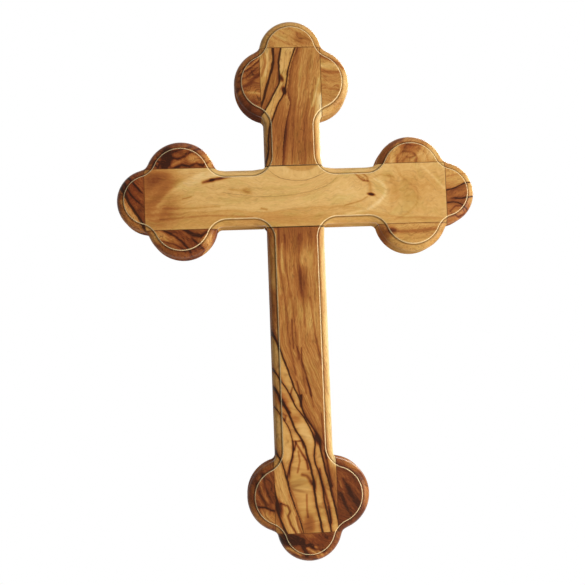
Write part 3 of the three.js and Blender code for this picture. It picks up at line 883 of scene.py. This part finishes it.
        (0.4, 0.75, [(-51.4, -14.4), (-47, -16.8), (-43.6, -17.4), (-41, -15.6)]),
        (0.2, 0.4, [(-62, -19), (-56, -21), (-51, -24)]),
        (0.22, 0.45, [(-48, -18.4), (-45, -21), (-41, -23.4)]),
    ], patches=[
        (-0.28, -0.2, (-63, -17, 5, 3, -20)),
        (-0.34, 0.1, (-40, -19, 3, 4.4, 0)),
        (-0.12, 0, (-56, -19, 3, 2, -30)),
    ])],
    "bottom_left": [Zone(-64, 0.8, red=0.1, strokes=[
        (0.34, 0.45, [(-22, -140.6), (-18.6, -141), (-16, -142.4), (-13.6, -143)]),
        (0.2, 0.6, [(-19, -126), (-18, -132), (-15.4, -139)]),
        (0.18, 0.6, [(-22, -129), (-20.6, -135), (-18, -140)]),
        (-0.1, 0.5, [(-20.4, -128), (-19.4, -134), (-17, -139)]),
    ], patches=[
        (-0.24, -0.3, (-18, -146, 6, 3.4, -24)),
        (-0.14, 0, (-28, -140, 3, 9, 20)),
        (-0.16, -0.2, (-21, -122, 7, 3, 25)),
    ])],
    "bottom_right": [Zone(-52, 0.88, red=0.1, strokes=[
        (0.22, 1, [(17.4, -130), (20.4, -136), (24, -142)]),
        (0.16, 0.6, [(16, -136), (18, -142), (20, -146)]),
        (-0.1, 0.5, [(21, -131), (24, -136)]),
        (-0.1, 0.5, [(15.6, -131), (18, -138), (21, -143)]),
    ], patches=[
        # Painted highlight: a pale strip on the right-hand quarter round, where the light falls
        (-0.3, 0.2, (28.6, -136, 2.8, 9, 0)),
        (-0.34, 0, (22, -122.4, 8, 3.2, -30)),
        (-0.1, 0, (17, -130, 3, 5, 0)),
    ])],
    "bottom_end": [Zone(-28, 0.74, red=0.2, strokes=[
        (0.41, 0.7, [(-3.6, -156.2), (-2, -159), (1, -158.4), (3.4, -160.4), (7.4, -161.6)]),
        (-0.2, 0.55, [(-0.6, -159.6), (3, -162), (5, -164.4)]),
        (-0.2, 0.5, [(3, -159.4), (8.6, -162.6)]),
        (-0.26, 0.6, [(-9, -159.2), (-5.6, -160.6), (-3.1, -162.9)]),
        (0.4, 0.8, [(-2.2, -156.1), (-1.7, -159.5), (-0.5, -163)]),
        (-0.26, 0.7, [(3.1, -159.8), (4.8, -161.6), (6.4, -163.3)]),
        (0.22, 0.5, [(-6, -162), (0, -164), (4, -165)]),
    ], patches=[
        (0.75, -0.3, (-7.6, -155.6, 5, 2.2, -10)),
        (0.1, 0.2, (7, -156.6, 6, 3, 0)),
    ])],
}


# Materials

WHITE = linear("FFFFFF")
RED_TINT = linear("FFE7E5")  # multiplied into reddened wood
GREEN_TINT = linear("F1F8EC")  # multiplied into greenish wood
VARNISH_TINT = linear("FFEFD4")  # of what the varnish mirrors

FLECK_DEPTH = 0.16  # contrast of the short flecks
VEIN_WANDER = 1.2  # how far noise moves a vein's edge, in millimetres
GROWTH_LINES = 11.0  # over the noise's range

# Share by which a layer hides the wood under it
CLOUD_COVER = 0.8
VEIN_COVER = 0.92
GLUE_COVER = 0.75
# The dark line at the step's foot is painted shade in the corner of the routed step
STEP_SHADE_COVER = 0.52

# Features per millimetre across, along and into the grain, then detail and roughness of the noise.
# Pores come about 0.45 mm wide, coarser than real ones, as coarse as they need to be to show.
STREAKS = {
    "wander": ((0.45, 0.20, 0.3), 3.0, 0.6),
    "broad": ((0.42, 0.022, 0.25), 3.0, 0.55),
    "fibres": ((1.9, 0.07, 1.4), 3.0, 0.6),
    "pores": ((2.3, 0.16, 2.0), 2.0, 0.55),
    "flecks": ((1.6, 0.6, 1.6), 2.0, 0.65),
    "clouds": ((0.35, 0.12, 0.3), 2.0, 0.5),
    "growth": ((0.26, 0.028, 0.2), 1.5, 0.5),
}
BEND_SCALE = 0.16  # of the noise that curls the grain
RAMP_INPUTS = ("Value", "From Min", "From Max", "To Min", "To Max")


class Wood(NamedTuple):
    """How one kind of the olive wood looks."""

    name: str
    figure: float  # contrast of the broad streaks
    fibres: float  # contrast of the fibres
    roughness: float
    curl: float  # how far the grain wanders, in millimetres
    rings: float  # strength of the growth lines
    pores: float  # strength of the pores


WOODS = {
    "olive_post": Wood("olive_mixed_heartwood_satin_varnish", 0.18, 0.40, 0.34, 1.5, 0.35, 0.5),
    "olive_bar": Wood("olive_sapwood_satin_varnish", 0.16, 0.16, 0.34, 3.0, 0.12, 0.18),
    "olive_bud_golden": Wood("olive_golden_satin_varnish", 0.26, 0.28, 0.34, 7.0, 0.30, 0.4),
    "olive_bud_red_brown":
        Wood("olive_red_heartwood_satin_varnish", 0.40, 0.34, 0.32, 8.0, 0.8, 0.4),
    "olive_bud_dark": Wood("olive_dark_heartwood_satin_varnish", 0.34, 0.34, 0.32, 6.0, 0.7, 0.4),
}


def add_node(tree, kind, settings=None, inputs=None):
    """Adds a node, sets its properties, and gives each input its value or its link."""
    made = tree.nodes.new(kind)
    for name, value in (settings or {}).items():
        setattr(made, name, value)
    for name, value in (inputs or {}).items():
        if isinstance(value, bpy.types.NodeSocket):
            tree.links.new(value, made.inputs[name])
        else:
            made.inputs[name].default_value = value
    return made


def empty_tree(block):
    """The node tree of a material or world, cleared."""
    block.use_nodes = True
    block.node_tree.nodes.clear()
    return block.node_tree


def varnished_olive(look, colours):
    """Olive wood, planed, sanded and varnished to a satin gloss. The eye gets broad streaks that
    flow with the grain, fine fibres and pores, dark growth lines with soft edges, thin dark glue
    lines, and a clear film that mirrors bright things at a glance. Limits are in millimetres for
    veins, glue lines and depth, and shares of the noise's range for streaks."""
    material = bpy.data.materials.new(look.name)
    tree = empty_tree(material)
    grain = add_node(tree, "ShaderNodeAttribute", {"attribute_name": "grain"}).outputs["Vector"]
    bend = add_node(tree, "ShaderNodeTexNoise", {}, {
        "Vector": grain, "Scale": BEND_SCALE, "Detail": 1.5,
    })
    curly = add_node(tree, "ShaderNodeVectorMath", {"operation": "MULTIPLY_ADD"},
                     {0: bend.outputs["Color"], 1: (look.curl,) * 3, 2: grain}).outputs[0]

    found = {"depth": add_node(tree, "ShaderNodeSeparateXYZ", {}, {0: grain}).outputs["Z"]}
    for name in ("vein", "ink", "tone", "red", "glue"):
        drawn = add_node(tree, "ShaderNodeAttribute", {"attribute_name": name})
        found[name] = drawn.outputs["Fac"]
    for name, (scale, detail, roughness) in STREAKS.items():
        spread = add_node(tree, "ShaderNodeMapping", {}, {"Vector": curly, "Scale": scale})
        noise = add_node(tree, "ShaderNodeTexNoise", {}, {
            "Vector": spread.outputs[0], "Scale": 1.0, "Detail": detail, "Roughness": roughness,
        })
        found[name] = noise.outputs["Fac"]

    # Each step has a name, an operation and its terms, which are numbers or names of earlier
    # steps. A ramp's terms are what it reads, from where to where, and what that becomes.
    for name, operation, *terms in (
        # Veins with an uneven, soft edge
        ("swing", "MULTIPLY_ADD", "wander", VEIN_WANDER, -0.5 * VEIN_WANDER),
        ("swung", "ADD", "vein", "swing"),
        ("away", "ABSOLUTE", "swung"),
        ("inside", "SUBTRACT", "ink", "away"),
        ("inked", "RAMP", "inside", -0.05, 0.30, 0.0, VEIN_COVER),
        ("has_ink", "RAMP", "ink", 0.02, 0.12, 0.0, 1.0),
        ("line", "MULTIPLY", "inked", "has_ink"),
        # The drawn tone, varied by streaks, fibres and flecks
        ("streaked", "MULTIPLY_ADD", "broad", look.figure, "tone"),
        ("fibred", "MULTIPLY_ADD", "fibres", look.fibres, "streaked"),
        ("flecked", "MULTIPLY_ADD", "flecks", FLECK_DEPTH, "fibred"),
        ("shade", "ADD", "flecked", -0.5 * (look.figure + look.fibres + FLECK_DEPTH)),
        # Reddened and greenish places
        ("reddened", "MAXIMUM", "red", 0.0),
        ("redness", "MINIMUM", "reddened", 1.0),
        ("greenish", "RAMP", "clouds", 0.45, 0.70, 0.0, CLOUD_COVER),
        # Growth lines, pores and glue lines
        ("counted", "MULTIPLY", "growth", GROWTH_LINES),
        ("folded", "PINGPONG", "counted", 0.5),
        ("thin", "RAMP", "folded", 0.02, 0.13, 1.0, 0.0),
        ("strong", "RAMP", "broad", 0.38, 0.62, 0.0, look.rings),
        ("ring", "MULTIPLY", "thin", "strong"),
        ("pitted", "RAMP", "pores", 0.52, 0.72, 0.0, look.pores),
        ("glued", "RAMP", "glue", 0.08, 0.26, GLUE_COVER, 0.0),
        # Painted shade: a dark line in the corner at the foot of the routed step. Painted highlight:
        # a pale line along the rounded arris, partly wood rubbed pale by sanding
        ("step_shade_top", "RAMP", "depth", 0.5, 0.62, 0.0, STEP_SHADE_COVER),
        ("step_shade_low", "RAMP", "depth", 0.92, 0.80, 0.0, 1.0),
        ("foot", "MULTIPLY", "step_shade_top", "step_shade_low"),
        ("arris_top", "RAMP", "depth", 0.0, 0.05, 0.0, 1.0),
        ("arris_low", "RAMP", "depth", 0.55, 0.35, 0.0, 1.0),
        ("arris", "MULTIPLY", "arris_top", "arris_low"),
        # Strength of the painted highlight on the arris, partly wood rubbed pale, broken up by the
        # flecks
        ("arris_highlight_strength", "RAMP", "flecks", 0.3, 0.6, 0.45, 0.78),
        ("arris_highlight_and_rub", "MULTIPLY", "arris", "arris_highlight_strength"),
        # Satin varnish on the face and the quarter round, a dull sawn wall below, and its relief
        ("satin", "RAMP", "fibres", 0.3, 0.7, look.roughness - 0.04, look.roughness + 0.05),
        ("sawn", "RAMP", "depth", 2.4, 3.9, 0.0, 1.0),
        ("roughness", "MAXIMUM", "satin", "sawn"),
        ("relief", "MULTIPLY_ADD", "pores", -0.5, "fibres"),
    ):
        terms = [found.get(term, term) for term in terms]
        if operation == "RAMP":
            step = add_node(tree, "ShaderNodeMapRange", {"interpolation_type": "SMOOTHSTEP"},
                            dict(zip(RAMP_INPUTS, terms)))
        else:
            step = add_node(tree, "ShaderNodeMath", {"operation": operation},
                            dict(enumerate(terms)))
        found[name] = step.outputs[0]

    ramp = add_node(tree, "ShaderNodeValToRGB", {}, {"Fac": found["shade"]})
    stops = ((0.0, colours.sapwood), (0.27, colours.honey), (0.43, colours.gold),
             (0.60, colours.brown), (0.80, colours.russet), (1.0, colours.heart))
    elements = ramp.color_ramp.elements
    while len(elements) < len(stops):
        elements.new(0.5)
    for element, (place, colour) in zip(elements, stops):
        element.position = place
        element.color = (*colour, 1)
    wood = ramp.outputs["Color"]
    for cover, colour, blend in (
        ("redness", RED_TINT, "MULTIPLY"), ("greenish", GREEN_TINT, "MULTIPLY"),
        ("ring", colours.heart, "MIX"), ("pitted", colours.russet, "MIX"),
        ("line", colours.vein, "MIX"), ("glued", colours.glue, "MIX"),
        # The foot's dark line is painted shade; the pale arris line is a painted highlight, partly
        # rubbed wood
        ("foot", colours.vein, "MIX"), ("arris_highlight_and_rub", colours.sapwood, "MIX"),
    ):
        layer = add_node(tree, "ShaderNodeMix", {"data_type": "RGBA", "blend_type": blend},
                         {0: found[cover], 6: wood, 7: (*colour, 1)})
        wood = layer.outputs[2]

    bump = add_node(tree, "ShaderNodeBump", {}, {
        "Strength": 0.25, "Distance": 0.00008, "Height": found["relief"],
    })
    surface = add_node(tree, "ShaderNodeBsdfPrincipled", {}, {
        "Base Color": wood, "Roughness": found["roughness"], "IOR": 1.5,
        "Specular IOR Level": 0.18, "Specular Tint": (*VARNISH_TINT, 1),
        "Normal": bump.outputs[0],
    })
    output = add_node(tree, "ShaderNodeOutputMaterial", {}, {"Surface": surface.outputs[0]})
    output.is_active_output = True
    return material


def brass_plate(name, bright, dull):
    """Steel, pressed or headed and brass plated. Fine rolling lines blur its reflections, and a
    dull brown film in patches takes the edge off them. Scales are features per metre."""
    material = bpy.data.materials.new(name)
    tree = empty_tree(material)
    place = add_node(tree, "ShaderNodeTexCoord").outputs["Object"]
    rolled = add_node(tree, "ShaderNodeMapping", {}, {"Vector": place, "Scale": (300, 3000, 9000)})
    lines = add_node(tree, "ShaderNodeTexNoise", {}, {
        "Vector": rolled.outputs[0], "Scale": 1.0, "Detail": 3.0,
    })
    film = add_node(tree, "ShaderNodeTexNoise", {}, {
        "Vector": place, "Scale": 350.0, "Detail": 4.0,
    })
    tint = add_node(tree, "ShaderNodeMix", {"data_type": "RGBA"}, {
        0: film.outputs["Fac"], 6: (*bright, 1), 7: (*dull, 1),
    })
    blur = add_node(tree, "ShaderNodeMapRange", {}, {
        "Value": film.outputs["Fac"], "From Min": 0.3, "From Max": 0.7, "To Min": 0.34,
        "To Max": 0.52,
    })
    bump = add_node(tree, "ShaderNodeBump", {}, {
        "Strength": 0.2, "Distance": 0.00003, "Height": lines.outputs["Fac"],
    })
    surface = add_node(tree, "ShaderNodeBsdfPrincipled", {}, {
        "Base Color": tint.outputs[2], "Metallic": 1.0, "Roughness": blur.outputs[0],
        "Normal": bump.outputs[0],
    })
    add_node(tree, "ShaderNodeOutputMaterial", {}, {"Surface": surface.outputs[0]})
    return material


# Operators

SLOTS = {
    "post": "olive_post", "crossbar": "olive_bar", "top_end": "olive_bud_golden",
    "top_right": "olive_bud_golden", "right_end": "olive_bud_golden",
    "right_upper": "olive_bud_golden", "right_lower": "olive_bud_golden",
    "top_left": "olive_bud_red_brown", "left_end": "olive_bud_red_brown",
    "left_upper": "olive_bud_red_brown", "left_lower": "olive_bud_red_brown",
    "bottom_left": "olive_bud_dark", "bottom_right": "olive_bud_dark",
    "bottom_end": "olive_bud_dark",
}

# Glue planes: axis, place along it, and the share of the distance that counts. A small share
# gives a wide line, as at the crossing. Under the crossbar the line is a dark glue joint widened
# by painted shade in the gap below the bar.
UPPER_CROSSING_SHARE = 0.8
LOWER_CROSSING_SHADE_SHARE = 0.45


def end_plane(arm):
    """The glue plane across a beam's square end."""
    return 2 * (arm.turn % 2), (1, 1, -1, -1)[arm.turn] * arm.end, 1


def side_planes(arm, stock):
    """The two glue planes along a beam's sides."""
    axis = 2 - 2 * (arm.turn % 2)
    return [(axis, stock, 1), (axis, -stock, 1)]


def finish_wood(piece, key, node, glue_planes, scene):
    """Gives a wooden piece its figure, material and body, and hides the CAD part it replaces."""
    slot = SLOTS[key]
    look = WOODS[slot]
    lay_figure(piece, FIGURES[key], glue_planes, in_mm(scene.cross_sizes).thickness)
    material = bpy.data.materials.get(look.name) or varnished_olive(look, scene.cross_colours)
    piece.data.materials.append(material)
    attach(piece, "root")
    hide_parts(node)


class CROSS_OT_beams(bpy.types.Operator):
    """Make the post and the crossbar, halved over each other"""

    bl_idname = "cross.beams"
    bl_label = "Post and crossbar"

    def execute(self, context):
        size = in_mm(context.scene.cross_sizes)
        stock = size.stock_half
        for name, ends, upright in (
            ("post", ("bottom", "top"), True), ("crossbar", ("left", "right"), False),
        ):
            low, high = [ARMS[end] for end in ends]
            piece = beam_mesh("olive_" + name, size, (low, high), upright)
            planes = [end_plane(low), end_plane(high), *side_planes(low, stock)]
            if upright:
                # Under the crossbar the glue line is widened by painted shade
                planes += [(2, stock, UPPER_CROSSING_SHARE), (2, -stock, LOWER_CROSSING_SHADE_SHARE)]
            finish_wood(piece, name, name, planes, context.scene)
        return {"FINISHED"}


class CROSS_OT_side_buds(bpy.types.Operator):
    """Make the eight buds glued to the beams' sides"""

    bl_idname = "cross.side_buds"
    bl_label = "Side buds"

    def execute(self, context):
        size = in_mm(context.scene.cross_sizes)
        for name, arm in ARMS.items():
            planes = [end_plane(arm), *side_planes(arm, size.stock_half)]
            for side, place in zip((1, -1), arm.sides):
                key = name + "_" + place
                piece = side_bud_mesh("olive_" + key + "_bud", size, arm, side)
                finish_wood(piece, key, key + "_bud", planes, context.scene)
        return {"FINISHED"}


class CROSS_OT_end_buds(bpy.types.Operator):
    """Make the four buds glued across the beams' ends"""

    bl_idname = "cross.end_buds"
    bl_label = "End buds"

    def execute(self, context):
        size = in_mm(context.scene.cross_sizes)
        for name, arm in ARMS.items():
            key = name + "_end"
            piece = end_bud_mesh("olive_" + key + "_bud", size, arm)
            finish_wood(piece, key, key + "_bud", [end_plane(arm)], context.scene)
        return {"FINISHED"}


class CROSS_OT_hanger(bpy.types.Operator):
    """Finish the sawtooth hanger and its nails"""

    bl_idname = "cross.hanger"
    bl_label = "Hanger"

    def execute(self, context):
        colours = context.scene.cross_colours
        strip = brass_plate("brass_plated_pressed_steel", colours.brass, colours.film)
        nails = brass_plate("brass_plated_nail_steel", colours.film, colours.tarnish)
        for name, material in (("hanger_plate", strip), ("hanger_nail_left", nails),
                               ("hanger_nail_right", nails)):
            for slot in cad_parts[name].material_slots:
                slot.material = material
        return {"FINISHED"}


# The camera's place and target in metres, fitted to the photograph, and its roll
CAMERA_PLACE = Vector((-0.02466, -0.42191, -0.07144))
CAMERA_TARGET = Vector((-0.00277, -0.0145, -0.04457))
CAMERA_ROLL = math.radians(2.117)

# Soft lamps, all aimed at one point: place, width and height in metres, and watts
LAMP_AIM = Vector((0, 0, -0.04))
LAMPS = {
    "window_light": ((0.84, -0.55, -0.12), 0.5, 0.75, 8.6),
    "main_light": ((0.76, -0.96, -0.25), 0.8, 0.8, 6.3),
    "ceiling_light": ((0.2, -0.5, 1.1), 0.8, 0.8, 5.2),
    "wall_side_light": ((0.70, 0.95, 0.55), 0.8, 0.8, 15.0),
}

# Strength of the surroundings for diffuse light, and where they are seen
WORLD_STRENGTHS = (0.19, 1.0)
FLOOR_STRENGTHS = (0.0, 0.6)
FLOOR_HALF = 0.45
FLOOR_HEIGHT = -0.34


def background_rays(tree, diffuse, seen):
    """Strength for the surroundings: one value for diffuse light, another where they are seen
    directly, mirrored, or through something clear."""
    path = add_node(tree, "ShaderNodeLightPath")
    either = add_node(tree, "ShaderNodeMath", {"operation": "MAXIMUM"}, {
        0: path.outputs["Is Camera Ray"], 1: path.outputs["Is Glossy Ray"],
    })
    either = add_node(tree, "ShaderNodeMath", {"operation": "MAXIMUM"}, {
        0: either.outputs[0], 1: path.outputs["Is Transmission Ray"],
    })
    strength = add_node(tree, "ShaderNodeMapRange", {}, {
        "Value": either.outputs[0], "To Min": diffuse, "To Max": seen,
    })
    return strength.outputs["Result"]


class CROSS_OT_stage(bpy.types.Operator):
    """Set up the camera, the soft lights, the white surroundings and the floor"""

    bl_idname = "cross.stage"
    bl_label = "Stage"

    def execute(self, context):
        scene = context.scene
        forward = (CAMERA_TARGET - CAMERA_PLACE).normalized()
        level = forward.cross(Vector((0, 0, 1))).normalized()
        upright = level.cross(forward)
        right = level * math.cos(CAMERA_ROLL) - upright * math.sin(CAMERA_ROLL)
        above = upright * math.cos(CAMERA_ROLL) + level * math.sin(CAMERA_ROLL)
        data = bpy.data.cameras.new("camera")
        data.lens = 55
        data.sensor_width = 36
        data.clip_start = 0.01
        data.clip_end = 20
        camera = bpy.data.objects.new("camera", data)
        turn = Matrix((right, above, -forward)).transposed().to_4x4()
        camera.matrix_world = Matrix.Translation(CAMERA_PLACE) @ turn
        scene.collection.objects.link(camera)
        scene.camera = camera

        for name, (place, width, height, power) in LAMPS.items():
            lamp = bpy.data.lights.new(name, "AREA")
            lamp.shape = "RECTANGLE"
            lamp.size = width
            lamp.size_y = height
            lamp.energy = power
            light = bpy.data.objects.new(name, lamp)
            light.location = place
            light.rotation_euler = (LAMP_AIM - Vector(place)).to_track_quat("-Z", "Y").to_euler()
            scene.collection.objects.link(light)

        scene.world = bpy.data.worlds.new("pale_studio")
        tree = empty_tree(scene.world)
        glow = add_node(tree, "ShaderNodeBackground", {}, {
            "Color": (*WHITE, 1), "Strength": background_rays(tree, *WORLD_STRENGTHS),
        })
        add_node(tree, "ShaderNodeOutputWorld", {}, {"Surface": glow.outputs[0]})

        mesh = bpy.data.meshes.new("pale_floor")
        corners = [(x * FLOOR_HALF, y * FLOOR_HALF, FLOOR_HEIGHT)
                   for x, y in ((-1, -1), (1, -1), (1, 1), (-1, 1))]
        mesh.from_pydata(corners, [], [(0, 1, 2, 3)])
        floor = bpy.data.objects.new("pale_floor", mesh)
        scene.collection.objects.link(floor)
        paint = bpy.data.materials.new("matt_white_board")
        tree = empty_tree(paint)
        shader = add_node(tree, "ShaderNodeBsdfPrincipled", {}, {
            "Base Color": (*scene.cross_colours.floor, 1), "Roughness": 0.8,
            "Emission Color": (*WHITE, 1),
            "Emission Strength": background_rays(tree, *FLOOR_STRENGTHS),
        })
        add_node(tree, "ShaderNodeOutputMaterial", {}, {"Surface": shader.outputs[0]})
        mesh.materials.append(paint)

        scene.view_settings.view_transform = "Standard"
        return {"FINISHED"}


class CROSS_PT_panel(bpy.types.Panel):
    """Lists the cross's pieces, sizes and colours"""

    bl_idname = "CROSS_PT_panel"
    bl_label = "Budded cross"
    bl_space_type = "VIEW_3D"
    bl_region_type = "UI"
    bl_category = "Cross"

    def draw(self, context):
        layout = self.layout
        for operator in OPERATORS:
            layout.operator(operator.bl_idname)
        for group in (context.scene.cross_sizes, context.scene.cross_colours):
            column = layout.column()
            for key in group.__annotations__:
                column.prop(group, key)


GROUPS = (CrossSizes, CrossColours)
OPERATORS = (CROSS_OT_stage, CROSS_OT_beams, CROSS_OT_side_buds, CROSS_OT_end_buds,
             CROSS_OT_hanger)


def register():
    for kind in (*GROUPS, *OPERATORS, CROSS_PT_panel):
        bpy.utils.register_class(kind)
    bpy.types.Scene.cross_sizes = bpy.props.PointerProperty(type=CrossSizes)
    bpy.types.Scene.cross_colours = bpy.props.PointerProperty(type=CrossColours)


def unregister():
    del bpy.types.Scene.cross_colours
    del bpy.types.Scene.cross_sizes
    for kind in (CROSS_PT_panel, *reversed(OPERATORS), *reversed(GROUPS)):
        bpy.utils.unregister_class(kind)


def main():
    register()
    bpy.ops.cross.stage()
    bpy.ops.cross.beams()
    bpy.ops.cross.side_buds()
    bpy.ops.cross.end_buds()
    bpy.ops.cross.hanger()


if __name__ == "__main__":
    main()
